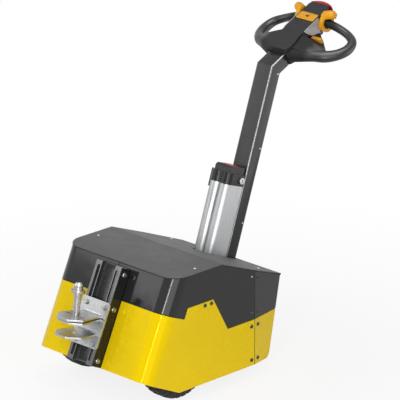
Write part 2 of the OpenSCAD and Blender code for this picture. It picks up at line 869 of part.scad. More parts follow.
// Pocket of the charge window in the cap, or the window itself
module window_space(inset) {
    top = case_top_z + cap_l;
    block([-window_w / 2 + inset, cap_front + window_in + inset, top - window_t],
        [window_w / 2 - inset, cap_front + window_in + window_l - inset, top + (inset > 0 ? 0 : over)]);
}

module battery_window() {
    color("#b3261a") placed() on_arm() window_space(fit_gap);
}

// Sprung tab on the left side of the cap
module battery_latch() {
    latch_t = 13;
    latch_y = [-53, -24];
    latch_z = [-22, 36];
    side = -battery_w / 2 - cap_rim;
    color("#1b1c1d") placed() on_arm() block([side - latch_t, latch_y[0] - dock_t, case_top_z + latch_z[0]],
        [side, latch_y[1] - dock_t, case_top_z + latch_z[1]]);
}

module key_lock() {
    lock_d = 21;
    lock_t = 6;
    lock_in = 15;
    color(bright) placed() on_arm()
        translate([battery_w / 2 + cap_rim, -dock_t - lock_in, case_top_z + cap_low / 2])
            rotate([0, 90, 0]) cylinder(d = lock_d, h = lock_t);
}

// Tyre with rounded shoulders on its rim
module tyre(side) {
    shoulder = 9;
    depth = (tyre_d - rim_d) / 2;
    half = tyre_w / 2;
    translate([side * track / 2, -axle_y, axle_h]) rotate([0, 90, 0]) rotate_extrude() {
        translate([rim_d / 2, -half]) square([depth - shoulder, tyre_w]);
        translate([rim_d / 2, shoulder - half]) square([depth, tyre_w - 2 * shoulder]);
        for (z = [-1, 1]) translate([tyre_d / 2 - shoulder, z * (half - shoulder)]) circle(shoulder);
    }
}

module tyre_left() color("#1a1a1a") placed() tyre(-1);
module tyre_right() color("#1a1a1a") placed() tyre(1);

// Dished rim with a bored hub
module rim(side) {
    wall = 8;
    disc_t = 12;
    bore = spindle_d / 2 + run_gap;
    translate([side * track / 2, -axle_y, axle_h]) rotate([0, 90, 0]) rotate_extrude() {
        translate([rim_d / 2 - wall, -rim_w / 2]) square([wall, rim_w]);
        translate([bore, -disc_t / 2]) square([rim_d / 2 - bore, disc_t]);
        translate([bore, -rim_w / 2]) square([hub_d / 2 - bore, rim_w]);
    }
}

module rim_left() color("#8d9093") placed() rim(-1);
module rim_right() color("#8d9093") placed() rim(1);

// Castor top plate with its kingpin and the block under the frame member
module castor_base(side) {
    low = castor_top - castor_plate_t - crown_t - fit_gap - run_gap;
    translate([side * castor_track / 2, castor_y, 0]) {
        translate([-castor_plate[0] / 2, -castor_plate[1] / 2, castor_top - castor_plate_t])
            cube([castor_plate[0], castor_plate[1], castor_plate_t]);
        translate([-castor_block[0] / 2, -castor_block[1] / 2, castor_top])
            cube([castor_block[0], castor_block[1], castor_block_h]);
        translate([0, 0, low - castor_nut_t])
            cylinder(d = kingpin_d, h = castor_top - castor_plate_t / 2 - low + castor_nut_t);
        translate([0, 0, low - castor_nut_t]) cylinder(d = castor_nut_d, h = castor_nut_t, $fn = 6);
    }
}

module castor_base_left() color("#9c9fa1") placed() castor_base(-1);
module castor_base_right() color("#9c9fa1") placed() castor_base(1);

// Swivelling fork with its crown and wheel bolt
module castor_fork(side) {
    top = castor_top - castor_plate_t - fit_gap;
    leg_x = castor_w / 2 + fork_gap;
    translate([side * castor_track / 2, castor_y, 0]) {
        difference() {
            union() {
                translate([0, 0, top - crown_t]) cylinder(d = crown_d, h = crown_t);
                for (x = [-1, 1]) fork_leg(x, leg_x, top);
            }
            translate([0, 0, top - crown_t - over])
                cylinder(d = kingpin_d + 2 * run_gap, h = crown_t + 2 * over);
        }
        translate([0, castor_trail, castor_h]) rotate([0, 90, 0])
            cylinder(d = castor_axle_d, h = 2 * (leg_x + fork_t) + castor_nut_t, center = true);
    }
}

// One leg of the fork, from the crown down to the wheel bolt
module fork_leg(side, leg_x, top) {
    x0 = side > 0 ? leg_x : -leg_x - fork_t;
    half = 0.34 * crown_d;
    eye = [castor_trail - fork_eye_r, castor_trail + fork_eye_r];
    across(x0, x0 + fork_t) {
        polygon([[-half, top], [half, top], [eye[1], castor_h], [eye[0], castor_h]]);
        translate([castor_trail, castor_h]) circle(fork_eye_r);
    }
}

module castor_fork_left() color("#a7aaad") placed() castor_fork(-1);
module castor_fork_right() color("#a7aaad") placed() castor_fork(1);

// Castor wheel with a bored hub
module castor_wheel(side) {
    bore = castor_axle_d / 2 + run_gap;
    edge = 4;
    r = castor_d / 2;
    half = castor_w / 2;
    translate([side * castor_track / 2, castor_y + castor_trail, castor_h]) rotate([0, 90, 0])
        rotate_extrude() polygon([
            [bore, -half], [r - edge, -half], [r, edge - half],
            [r, half - edge], [r - edge, half], [bore, half]
        ]);
}

module castor_wheel_left() color("#6f7173") placed() castor_wheel(-1);
module castor_wheel_right() color("#6f7173") placed() castor_wheel(1);

chassis_frame();
transaxle();
drive_motor();
hitch_column();
hitch_bracket();
hitch_bolts();
hitch_pin();
lid();
upper_cover_left();
upper_cover_right();
skirt_left();
skirt_right();
rear_cover_upper();
rear_cover_lower();
tiller_arm();
head_cover();
handle_body();
loop_left();
loop_right();
head_cheeks();
paddle_left();
paddle_right();
horn_button();
belly_button();
side_buttons();
battery_dock();
battery_case();
battery_cap();
battery_window();
battery_latch();
key_lock();
tyre_left();
tyre_right();
rim_left();
rim_right();
castor_base_left();
castor_base_right();
castor_fork_left();
castor_fork_right();
castor_wheel_left();
castor_wheel_right();
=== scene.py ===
"""Looks of a pedestrian electric tow tractor: painted covers, plated hitch, tiller head, battery."""
import json
import math

import bmesh
import bpy
from mathutils import Matrix, Vector


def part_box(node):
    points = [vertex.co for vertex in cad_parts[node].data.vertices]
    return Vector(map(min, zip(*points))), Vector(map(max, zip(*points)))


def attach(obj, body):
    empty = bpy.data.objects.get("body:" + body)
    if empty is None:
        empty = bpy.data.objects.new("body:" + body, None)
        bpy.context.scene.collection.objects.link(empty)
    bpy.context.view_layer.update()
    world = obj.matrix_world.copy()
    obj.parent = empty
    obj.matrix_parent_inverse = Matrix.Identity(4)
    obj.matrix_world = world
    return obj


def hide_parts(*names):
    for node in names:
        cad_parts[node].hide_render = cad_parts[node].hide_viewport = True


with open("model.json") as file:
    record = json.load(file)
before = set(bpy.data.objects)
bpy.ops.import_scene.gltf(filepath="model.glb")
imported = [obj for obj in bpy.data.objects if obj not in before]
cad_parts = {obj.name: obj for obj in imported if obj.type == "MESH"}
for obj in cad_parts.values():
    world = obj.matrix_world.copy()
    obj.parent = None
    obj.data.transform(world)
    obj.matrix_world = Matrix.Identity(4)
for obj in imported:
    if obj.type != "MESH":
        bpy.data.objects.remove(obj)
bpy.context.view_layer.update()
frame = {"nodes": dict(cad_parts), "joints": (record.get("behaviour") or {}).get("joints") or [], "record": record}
nodes = frame["nodes"]
slot_of = {part["node"]: part["material_slot"] for part in frame["record"]["subparts"]}
joint_of = {joint["name"]: joint for joint in frame["joints"]}

MM = 0.001
ROOT = "machine"
# Where the grained shoulders of the handle end and its polished bars begin, in metres from the middle
SHOULDER = (0.085, 0.115)

# Driving dimensions of the part, in millimetres and degrees
AXLE_BEFORE_BEND = 142
LID_FLAT = 195
LID_SLOPE = math.degrees(math.atan(109 / 281))
FRONT_LEAN = 25
REAR_TAPER = math.degrees(math.atan(24.5 / 137))
REAR_LEAN = 13.4
REAR_TOP = 293
LID_END = 281
SEAM_Y = 144
ARM_LEAN = 19.2
ARM_HALF = 32.5
HEAD_SLOPE = 26
COVER_T = 18
COLUMN_HALF = 55
COLUMN_PROUD = 40
PLATE_FACE = -46
PIN_PLACE = (0, -113, -193)
JAW_TILT = 8
JAW_FACES = (0, -6, -54, -60)


def mm(*values):
    """Point or size given in millimetres."""
    return Vector(values) * MM


def turned(place, degrees, axis="X"):
    """Frame at a place, turned about one of its axes."""
    return Matrix.Translation(place) @ Matrix.Rotation(math.radians(degrees), 4, axis)


# Local frames: the leaning front, the hitch jaws, the arm and the tiller head
bend_y = joint_of["drive_right"]["pos_m"][1] + AXLE_BEFORE_BEND * MM
lid_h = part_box("lid")[1].z
half_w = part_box("skirt_right")[1].x
on_front = turned((0, bend_y - LID_FLAT * MM, lid_h), -FRONT_LEAN)
on_jaw = turned(on_front @ mm(*PIN_PLACE), -JAW_TILT)
on_arm = turned((0, *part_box("tiller_arm")[0].yz), -ARM_LEAN)
head_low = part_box("head_cover")[0]
head_rise = COVER_T * MM * math.cos(math.radians(HEAD_SLOPE))
on_head = turned((0, head_low.y, head_low.z + head_rise), HEAD_SLOPE)


def on_side(side, y, h):
    """Frame on a side cover, its Z out of the cover, at a distance behind the lid bend and a height."""
    out = half_w
    lean = 0
    if y > SEAM_Y:
        out -= (y - SEAM_Y) * MM * math.tan(math.radians(REAR_TAPER))
        lean = REAR_TAPER
    place = turned((side * out, bend_y + y * MM, h * MM), side * lean, "Z")
    return place @ Matrix.Rotation(math.radians(side * 90), 4, "Y")


def on_rear(x, h):
    """Frame on the leaning back, its Z out of the cover, at a distance across and a height."""
    y = LID_END - (REAR_TOP - h) * math.tan(math.radians(REAR_LEAN))
    return turned(Vector((x * MM, bend_y + y * MM, h * MM)), -90 - REAR_LEAN)


# Materials
def shader_of(name, **constants):
    """New material with a Principled shader, whose constant values are set on its own sockets."""
    material = bpy.data.materials.new(name)
    material.use_nodes = True
    tree = material.node_tree
    shader = tree.nodes["Principled BSDF"]
    for socket, value in constants.items():
        shader.inputs[socket.replace("_", " ")].default_value = value
    return material, tree, shader


def noise(tree, scale, detail=3.0, stretch=(1, 1, 1), tilt=0.0, cells=False):
    """Procedural pattern in metres: soft noise, or cells such as the spangle of plating."""
    place = tree.nodes.new("ShaderNodeTexCoord")
    mapping = tree.nodes.new("ShaderNodeMapping")
    mapping.inputs["Scale"].default_value = stretch
    mapping.inputs["Rotation"].default_value = (math.radians(tilt), 0, 0)
    tree.links.new(place.outputs["Object"], mapping.inputs["Vector"])
    pattern = tree.nodes.new("ShaderNodeTexVoronoi" if cells else "ShaderNodeTexNoise")
    pattern.inputs["Scale"].default_value = scale
    if not cells:
        pattern.inputs["Detail"].default_value = detail
    tree.links.new(mapping.outputs["Vector"], pattern.inputs["Vector"])
    return pattern.outputs["Color" if cells else "Fac"]


def between(tree, factor, low, high, start=0.3, stop=0.7):
    """Value that runs from low to high with a pattern."""
    spread = tree.nodes.new("ShaderNodeMapRange")
    spread.inputs["From Min"].default_value = start
    spread.inputs["From Max"].default_value = stop
    spread.inputs["To Min"].default_value = low
    spread.inputs["To Max"].default_value = high
    tree.links.new(factor, spread.inputs["Value"])
    return spread.outputs["Result"]


def absolute_x(tree, vector):
    """Distance of a vector's end from the middle plane."""
    split = tree.nodes.new("ShaderNodeSeparateXYZ")
    tree.links.new(vector, split.inputs["Vector"])
    size = tree.nodes.new("ShaderNodeMath")
    size.operation = "ABSOLUTE"
    tree.links.new(split.outputs["X"], size.inputs[0])
    return size.outputs["Value"]


def combined(tree, operation, first, second):
    """Value made from two others."""
    node = tree.nodes.new("ShaderNodeMath")
    node.operation = operation
    tree.links.new(first, node.inputs[0])
    tree.links.new(second, node.inputs[1])
    return node.outputs["Value"]


def blended(tree, share, colour, other):
    """Colour that gives way to another, plain one by a share."""
    mix = tree.nodes.new("ShaderNodeMix")
    mix.data_type = "RGBA"
    tree.links.new(share, mix.inputs["Factor"])
    tree.links.new(colour, mix.inputs["A"])
    mix.inputs["B"].default_value = (*other, 1)
    return mix.outputs["Result"]


def ramp(tree, factor, stops):
    """Colour that runs through stops of place and colour with a pattern."""
    node = tree.nodes.new("ShaderNodeValToRGB")
    elements = node.color_ramp.elements
    while len(elements) < len(stops):
        elements.new(0.5)
    for element, (place, colour) in zip(elements, stops):
        element.position = place
        element.color = (*colour, 1)
    tree.links.new(factor, node.inputs["Fac"])
    return node.outputs["Color"]


def shaded(colour, share):
    """Colour made darker or lighter by a share."""
    return tuple(min(1.0, max(0.0, c * (1 + share))) for c in colour)


def mottled(tree, pattern, colour, darker, lighter):
    """Colour that a pattern makes darker and lighter by a share."""
    return ramp(tree, pattern, [(0.3, shaded(colour, -darker)), (0.7, shaded(colour, lighter))])


def bumps(tree, shader, *heights):
    """Chain of bumps of height, strength and depth on a shader's normal."""
    normal = None
    for height, strength, depth in heights:
        bump = tree.nodes.new("ShaderNodeBump")
        bump.inputs["Strength"].default_value = strength
        bump.inputs["Distance"].default_value = depth
        tree.links.new(height, bump.inputs["Height"])
        if normal:
            tree.links.new(normal, bump.inputs["Normal"])
        normal = bump.outputs["Normal"]
    tree.links.new(normal, shader.inputs["Normal"])


def worn(tree, colour, edge_colour):
    """Colour that is rubbed lighter along sharp edges."""
    geometry = tree.nodes.new("ShaderNodeNewGeometry")
    edges = between(tree, geometry.outputs["Pointiness"], 0.0, 0.6, 0.53, 0.62)
    patches = between(tree, noise(tree, 90, 6), 0.0, 1.0, 0.42, 0.6)
    return blended(tree, combined(tree, "MULTIPLY", edges, patches), colour, edge_colour)


def paint(name, colour, rough, peel=0.12, specular=0.5, spread=0.05, tint=(1, 1, 1)):
    """Sprayed paint: soft mottling, orange peel, uneven gloss and faint wear on its edges."""
    material, tree, shader = shader_of(name, Specular_IOR_Level=specular, Specular_Tint=(*tint, 1))
    cloud = mottled(tree, noise(tree, 9, 4), colour, spread, spread)
    tree.links.new(worn(tree, cloud, shaded(colour, 0.35)), shader.inputs["Base Color"])
    gloss = between(tree, noise(tree, 26, 5), rough - 0.05, rough + 0.06)
    tree.links.new(gloss, shader.inputs["Roughness"])
    bumps(tree, shader, (noise(tree, 420, 2), peel, 0.0004), (noise(tree, 40, 2), 0.02, 0.002))
    return material


def black_with_lit_fronts(name, colour, lit_metal, rough):
    """Black paint on the faces that look sideways and pale bare metal on all the others, which paints the fronts
    lighter than the flanks as the light falls.
    """
    material = paint(name, colour, rough, specular=0.3)
    tree = material.node_tree
    shader = tree.nodes["Principled BSDF"]
    geometry = tree.nodes.new("ShaderNodeNewGeometry")
    # Share of pale metal that paints light on the faces that don't look sideways
    front_light_share = between(tree, absolute_x(tree, geometry.outputs["Normal"]), 0.7, 0.0)
    painted = shader.inputs["Base Color"].links[0].from_socket
    tree.links.new(blended(tree, front_light_share, painted, lit_metal), shader.inputs["Base Color"])
    tree.links.new(front_light_share, shader.inputs["Metallic"])
    return material


def moulding(name, colour, rough, grain=0.35, scale=1500, specular=0.5):
    """Moulded plastic with a fine eroded grain and hand-polished patches."""
    material, tree, shader = shader_of(name, Specular_IOR_Level=specular)
    tree.links.new(mottled(tree, noise(tree, 30, 4), colour, 0.08, 0.08), shader.inputs["Base Color"])
    gloss = between(tree, noise(tree, 45, 4), rough - 0.07, rough + 0.08)
    tree.links.new(gloss, shader.inputs["Roughness"])
    bumps(tree, shader, (noise(tree, scale, 2), grain, 0.00025), (noise(tree, 120, 2), 0.04, 0.0008))
    return material


def grip_plastic(name, colour, matt, polished):
    """Moulded plastic that is grained on the shoulders by the head and polished by hands further out."""
    material, tree, shader = shader_of(name)
    place = tree.nodes.new("ShaderNodeTexCoord")
    blur = between(tree, noise(tree, 60, 4), -0.008, 0.008)
    reach = combined(tree, "ADD", absolute_x(tree, place.outputs["Object"]), blur)
    out = between(tree, reach, 0.0, 1.0, *SHOULDER)
    shades = ramp(tree, out, [(0.0, shaded(colour, 1.2)), (1.0, colour)])
    tree.links.new(shades, shader.inputs["Base Color"])
    tree.links.new(between(tree, out, matt, polished, 0.0, 1.0), shader.inputs["Roughness"])
    tree.links.new(between(tree, out, 0.12, 0.5, 0.0, 1.0), shader.inputs["Specular IOR Level"])
    bumps(tree, shader, (noise(tree, 1500, 2), 0.15, 0.00025), (noise(tree, 120, 2), 0.04, 0.0008))
    return material


def plated(name, colour, rough, spangle=160, tint=(0.0, 0.0, 0.0)):
    """Zinc or nickel plating: crystal spangle, dull streaks and fine scratches."""
    material, tree, shader = shader_of(name, Metallic=1.0)
    crystals = noise(tree, spangle, cells=True)
    pale = tuple(min(1.0, c + t) for c, t in zip(shaded(colour, 0.08), tint))
    shades = ramp(tree, crystals, [(0.1, shaded(colour, -0.1)), (0.9, pale)])
    tree.links.new(shades, shader.inputs["Base Color"])
    streaks = noise(tree, 60, 5, (1, 6, 1))
    tree.links.new(between(tree, streaks, rough - 0.08, rough + 0.12), shader.inputs["Roughness"])
    bumps(tree, shader, (noise(tree, 900, 3, (1, 8, 1)), 0.08, 0.0002), (crystals, 0.05, 0.0002))
    return material


def brushed(name, colour, rough, lean):
    """Drawn aluminium with die lines along its length."""
    material, tree, shader = shader_of(name, Metallic=1.0, Anisotropic=0.5)
    lines = noise(tree, 700, 4, (1, 1, 0.012), lean)
    tree.links.new(mottled(tree, lines, colour, 0.09, 0.07), shader.inputs["Base Color"])
    gloss = between(tree, noise(tree, 18, 4), rough - 0.06, rough + 0.08)
    tree.links.new(gloss, shader.inputs["Roughness"])
    bumps(tree, shader, (lines, 0.12, 0.0002))
    return material


def rubber(name, colour, dust):
    """Rubber with fine pores and road dust."""
    material, tree, shader = shader_of(name, Specular_IOR_Level=0.35)
    cloud = ramp(tree, noise(tree, 55, 6), [(0.45, colour), (0.75, dust)])
    tree.links.new(cloud, shader.inputs["Base Color"])
    tree.links.new(between(tree, noise(tree, 70, 4), 0.62, 0.86), shader.inputs["Roughness"])
    bumps(tree, shader, (noise(tree, 1100, 3), 0.4, 0.0003), (noise(tree, 160, 4), 0.15, 0.0008))
    return material


MATERIALS = {
    "frame_paint": paint("frame_paint", (0.02, 0.02, 0.021), 0.5),
    "motor_paint": paint("motor_paint", (0.05, 0.05, 0.052), 0.5),
    # The column's fronts are painted lighter than its flanks, as light falls on them
    "column_paint": black_with_lit_fronts("column_paint", (0.008, 0.008, 0.0085), (0.2, 0.2, 0.2), 0.24),
    "zinc": plated("zinc", (0.39, 0.395, 0.395), 0.34),
    "bolt_steel": plated("bolt_steel", (0.36, 0.36, 0.355), 0.2, 400, (0.02, 0.01, 0.0)),
    # The lid has the covers' dark grey painted much lighter, standing in for the light that falls on it from above
    "lid_paint": paint("lid_paint", (0.099, 0.101, 0.1), 0.58, 0.2, 0.3),
    "grey_paint": paint("grey_paint", (0.013, 0.0135, 0.0135), 0.09, 0.03, 0.35),
    "yellow_paint": paint("yellow_paint", (0.86, 0.60, 0.002), 0.09, 0.03, 0.4, 0.02, (1, 0.82, 0.05)),
    "arm_paint": paint("arm_paint", (0.027, 0.0275, 0.028), 0.2, 0.1, 0.23),
    "head_plastic": moulding("head_plastic", (0.02, 0.0205, 0.021), 0.55, specular=0.2),
    "black_plastic": moulding("black_plastic", (0.007, 0.007, 0.0075), 0.24, 0.15, specular=0.3),
    "pale_plastic": moulding("pale_plastic", (0.42, 0.42, 0.44), 0.4),
    "control_plastic": moulding("control_plastic", (0.95, 0.42, 0.008), 0.38, 0.2, specular=0.28),
    "red_plastic": moulding("red_plastic", (0.66, 0.028, 0.018), 0.4, 0.15, specular=0.2),
    "battery_metal": brushed("battery_metal", (0.37, 0.375, 0.38), 0.36, ARM_LEAN),
    "tyre_rubber": rubber("tyre_rubber", (0.013, 0.013, 0.013), (0.05, 0.048, 0.045)),
    "rim_metal": plated("rim_metal", (0.5, 0.51, 0.52), 0.4, 220),
    "castor_rubber": rubber("castor_rubber", (0.1, 0.1, 0.105), (0.16, 0.155, 0.15)),
}
GRIP = grip_plastic("grip_plastic", (0.008, 0.008, 0.0085), 0.6, 0.36)
# Pale metal for the tiller arm's long corners: a painted highlight along its edges
EDGE_HIGHLIGHT_METAL = plated("painted_edge_highlight", (0.23, 0.23, 0.23), 0.3, 300)
# Near-black moulding for the screws and the horn mark, and for the painted shade in the key slot
BLACK_PARTS_AND_SLOT_SHADE = moulding("black_parts_and_slot_shade", (0.02, 0.02, 0.021), 0.34, 0.2)
# Near-black rubber for the seam strips, and for the lid seal that paints the shadow under the lid's edge
SHADOW_AND_SEAM_RUBBER = rubber("shadow_and_seam_rubber", (0.004, 0.004, 0.004), (0.012, 0.012, 0.012))
LABEL_RED = moulding("label_red", (0.72, 0.05, 0.03), 0.7, 0.1, specular=0.05)

for name, node in nodes.items():
    node.data.materials.clear()
    node.data.materials.append(GRIP if name.startswith("loop") else MATERIALS[slot_of[name]])


# Edges of the CAD nodes: width of the rounding in millimetres and its steps.
# Corners closer than WELD millimetres are one, and faces within FLAT degrees are one plane.
# Edges that turn by more than SHARP degrees are rounded.
WELD = 0.005
FLAT = 0.3
SHARP = 28


def round_edges(node, width, steps):
    """Rounds a CAD node's sharp edges with modifiers alone."""
    weld = node.modifiers.new("weld", "WELD")
    weld.merge_threshold = WELD * MM
    flat = node.modifiers.new("flat", "DECIMATE")
    flat.decimate_type = "DISSOLVE"
    flat.angle_limit = math.radians(FLAT)
    bevel = node.modifiers.new("bevel", "BEVEL")
    bevel.width = width * MM
    bevel.segments = steps
    bevel.limit_method = "ANGLE"
    bevel.angle_limit = math.radians(SHARP)
    bevel.miter_outer = "MITER_ARC"
    normals = node.modifiers.new("normals", "WEIGHTED_NORMAL")
    normals.mode = "FACE_AREA"
    normals.weight = 80


def melt(node, voxel, passes):
    """Gives a moulded CAD node the soft blends of its real tool, with modifiers alone."""
    remesh = node.modifiers.new("remesh", "REMESH")
    remesh.mode = "VOXEL"
    remesh.voxel_size = voxel * MM
    remesh.use_smooth_shade = True
    smooth = node.modifiers.new("smooth", "SMOOTH")
    smooth.factor = 0.5
    smooth.iterations = passes


EDGES = {
    "chassis_frame": (1.5, 2), "hitch_column": (1.5, 3), "hitch_bracket": (0.9, 2), "hitch_bolts": (0.6, 2),
    "hitch_pin": (0.8, 2), "lid": (0.7, 2), "upper_cover_left": (0.6, 2), "upper_cover_right": (0.6, 2),
    "skirt_left": (0.6, 2), "skirt_right": (0.6, 2), "rear_cover_upper": (0.6, 2),
    "rear_cover_lower": (0.6, 2), "head_cover": (2.2, 3), "head_cheeks": (0.8, 2), "battery_dock": (1.2, 2),
    "battery_case": (0.6, 2), "battery_cap": (1.6, 3), "battery_window": (0.5, 2), "battery_latch": (2.0, 3),
    "key_lock": (1.0, 3), "rim_left": (1.5, 2), "rim_right": (1.5, 2), "castor_base_left": (0.9, 2),
    "castor_base_right": (0.9, 2), "castor_fork_left": (0.9, 2), "castor_fork_right": (0.9, 2),
    "castor_wheel_left": (1.5, 3), "castor_wheel_right": (1.5, 3),
}
for name, (width, steps) in EDGES.items():
    round_edges(nodes[name], width, steps)

MOULDED = {
    "handle_body": (1.2, 8), "loop_left": (1.2, 24), "loop_right": (1.2, 24), "paddle_left": (0.8, 30),
    "paddle_right": (0.8, 30), "belly_button": (0.8, 10),
}
for name, (voxel, passes) in MOULDED.items():
    melt(nodes[name], voxel, passes)


# New pieces
def piece(name, mesh, material, body=ROOT, stands_for=(), smooth=35):
    """Turns a mesh under construction into a piece that rides on a body."""
    bmesh.ops.recalc_face_normals(mesh, faces=mesh.faces[:])
    data = bpy.data.meshes.new(name)
    mesh.to_mesh(data)
    mesh.free()
    for face in data.polygons:
        face.use_smooth = True
    data.set_sharp_from_angle(angle=math.radians(smooth))
    data.materials.append(material)
    thing = bpy.data.objects.new(name, data)
    bpy.context.scene.collection.objects.link(thing)
    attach(thing, body)
    if stands_for:
        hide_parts(*stands_for)
    return thing


def skin(mesh, rings):
    """Joins rings of corners into one closed skin."""
    sides = len(rings[0])
    for low, high in zip(rings, rings[1:]):
        for j in range(sides):
            mesh.faces.new((low[j], low[(j + 1) % sides], high[(j + 1) % sides], high[j]))
    mesh.faces.new(rings[0])
    mesh.faces.new(rings[-1])


def lathe(mesh, profile, place, sides=24, hexed=()):
    """Adds a turned form: a profile of radius and height in millimetres, the hexed rings six-sided."""
    rings = []
    for k, (radius, height) in enumerate(profile):
        ring = []
        for j in range(sides):
            angle = 2 * math.pi * j / sides
            reach = radius
            if k in hexed:
                reach *= math.cos(math.pi / 6) / math.cos(angle % (math.pi / 3) - math.pi / 6)
            corner = place @ mm(reach * math.cos(angle), reach * math.sin(angle), height)
            ring.append(mesh.verts.new(corner))
        rings.append(ring)
    skin(mesh, rings)


def tube(mesh, points, radii, sides=8):
    """Adds a tube through points, with a radius at each, all in metres."""
    rings = []
    for k, point in enumerate(points):
        along = (points[min(k + 1, len(points) - 1)] - points[max(k - 1, 0)]).normalized()
        side = along.orthogonal().normalized()
        up = along.cross(side)
        rings.append([
            mesh.verts.new(point + radii[k] * (math.cos(a) * side + math.sin(a) * up))
            for a in (2 * math.pi * j / sides for j in range(sides))
        ])
    skin(mesh, rings)


def pad(mesh, place, size, soft):
    """Adds a block with rounded edges in the middle of a frame, its size and rounding in millimetres."""
    added = bmesh.ops.create_cube(mesh, size=1.0, matrix=place @ Matrix.Diagonal((*mm(*size), 1)))
    edges = {edge for vert in added["verts"] for edge in vert.link_edges}
    bmesh.ops.bevel(mesh, geom=list(edges), offset=soft * MM, segments=2, profile=0.5, affect="EDGES")


def rounded_outline(half_x, half_y, radius, steps=8):
    """Gives the points of a rounded rectangle at an inset from its edge."""
    def outline(inset):
        r = radius - inset
        points = []
        for k in range(4):
            x = (half_x - radius) * (1 if k in (0, 3) else -1)
            y = (half_y - radius) * (1 if k in (0, 1) else -1)
            for j in range(steps + 1):
                q = math.radians(90 * (k + j / steps))
                points.append((x + r * math.cos(q), y + r * math.sin(q)))
        return points
    return outline


def horn_outline(inset):
    """Points of a plain horn seen from its side."""
    shrink = 1 - 0.2 * inset
    bell = [(-7, -2.4), (-3, -2.4), (5.5, -6.2), (7, -6.2), (7, 6.2), (5.5, 6.2), (-3, 2.4), (-7, 2.4)]
    return [(shrink * x, shrink * y) for x, y in bell]


def key_cap(mesh, place, outline, profile):
    """Adds a moulded key: its outline at a profile of insets and heights in millimetres."""
    rings = []
    for inset, height in profile:
        rings.append([mesh.verts.new(place @ mm(x, y, height)) for x, y in outline(inset)])
    skin(mesh, rings)


def button_screw(mesh, place, radius):
    """Adds a round-headed screw with a six-sided socket, its head on the frame's XY plane."""
    high = 0.5 * radius
    lathe(mesh, [
        (0.5 * radius, -1.5), (0.98 * radius, -0.3), (radius, 0.1 * high), (0.93 * radius, 0.45 * high),
        (0.75 * radius, 0.8 * high), (0.55 * radius, high), (0.5 * radius, 0.97 * high),
        (0.46 * radius, 0.25 * high), (0.05 * radius, 0.2 * high),
    ], place, hexed=(6, 7))


def washer_bolt(mesh, place, radius):
    """Adds a hexagon bolt head on a washer."""
    high = 0.75 * radius
    lathe(mesh, [
        (0.6 * radius, -1.5), (1.3 * radius, -0.2), (1.32 * radius, 0.8), (1.22 * radius, 1.4),
        (1.02 * radius, 1.4), (1.02 * radius, 1.5 + 0.8 * high), (0.9 * radius, 1.5 + high),
        (0.2 * radius, 1.45 + high),
    ], place, hexed=(4, 5))


SIDES = (-1, 1)

# Blackened cover screws: at the peak of the colour break, beside the upright seam and on the back
PEAK_SCREWS = [(-71, 287), (-44, 287)]
SEAM_SCREWS = [(160, 318)] + [(y, h) for y in (130, 160) for h in (206, 164, 54)]
REAR_SCREWS = (262, 206, 164, 84)
REAR_SCREW_X = 195
COVER_SCREW_R = 6.5
mesh = bmesh.new()
for side in SIDES:
    for y, h in PEAK_SCREWS + SEAM_SCREWS:
        button_screw(mesh, on_side(side, y, h), COVER_SCREW_R)
    for h in REAR_SCREWS:
        button_screw(mesh, on_rear(side * REAR_SCREW_X, h), COVER_SCREW_R)
piece("cover_screws", mesh, BLACK_PARTS_AND_SLOT_SHADE)

# Small bright screws in the dark covers before the seam and in the lid
SEAM_TOP_SCREW = (131, 326)
SEAM_TOP_R = 3.6
LID_SCREWS = [(211, -85, 0), (190, 210, LID_SLOPE)]
LID_SCREW_R = 4.6
mesh = bmesh.new()
for side in SIDES:
    button_screw(mesh, on_side(side, *SEAM_TOP_SCREW), SEAM_TOP_R)
    for x, y, fall in LID_SCREWS:
        drop = max(0, y) * math.tan(math.radians(fall))
        place = Vector((side * x * MM, bend_y + y * MM, lid_h - drop * MM))
        button_screw(mesh, turned(place, -fall), LID_SCREW_R)
piece("small_screws", mesh, MATERIALS["bolt_steel"])

# Bolts through the side walls of the hitch column
COLUMN_BOLTS = (-37, -146, -308)
COLUMN_BOLT_R = 6.0
mesh = bmesh.new()
for side in SIDES:
    for rise in COLUMN_BOLTS:
        place = on_front @ turned(mm(side * COLUMN_HALF, -0.5 * COLUMN_PROUD, rise), side * 90, "Y")
        washer_bolt(mesh, place, COLUMN_BOLT_R)
piece("column_bolts", mesh, MATERIALS["bolt_steel"])

# Screws in both sides of the tiller arm, near its back
ARM_SCREWS = (208, 446, 684)
ARM_SCREW_R = 3.4
ARM_SCREW_BACK = 36
mesh = bmesh.new()
for side in SIDES:
    for rise in ARM_SCREWS:
        place = turned(mm(side * ARM_HALF, ARM_SCREW_BACK, rise), side * 90, "Y")
        button_screw(mesh, on_arm @ place, ARM_SCREW_R)
piece("arm_screws", mesh, MATERIALS["bolt_steel"])

# Rippled weld beads between the jaws and the back plate
BEAD_HALF = 37
BEAD_STEPS = 60
BEAD_R, BEAD_RIPPLE = 2.6, 0.5
RIPPLE_TURN = 1.9
mesh = bmesh.new()
front_of_jaw = on_front.inverted() @ on_jaw
for z in JAW_FACES:
    start = front_of_jaw @ mm(0, 0, z)
    reach = (PLATE_FACE * MM - start.y) / front_of_jaw.col[1].y
    points = []
    radii = []
    for k in range(BEAD_STEPS + 1):
        across = (2 * k / BEAD_STEPS - 1) * BEAD_HALF
        points.append(on_jaw @ Vector((across * MM, reach, z * MM)))
        radii.append((BEAD_R + BEAD_RIPPLE * math.sin(RIPPLE_TURN * k)) * MM)
    tube(mesh, points, radii)
piece("jaw_welds", mesh, MATERIALS["zinc"])

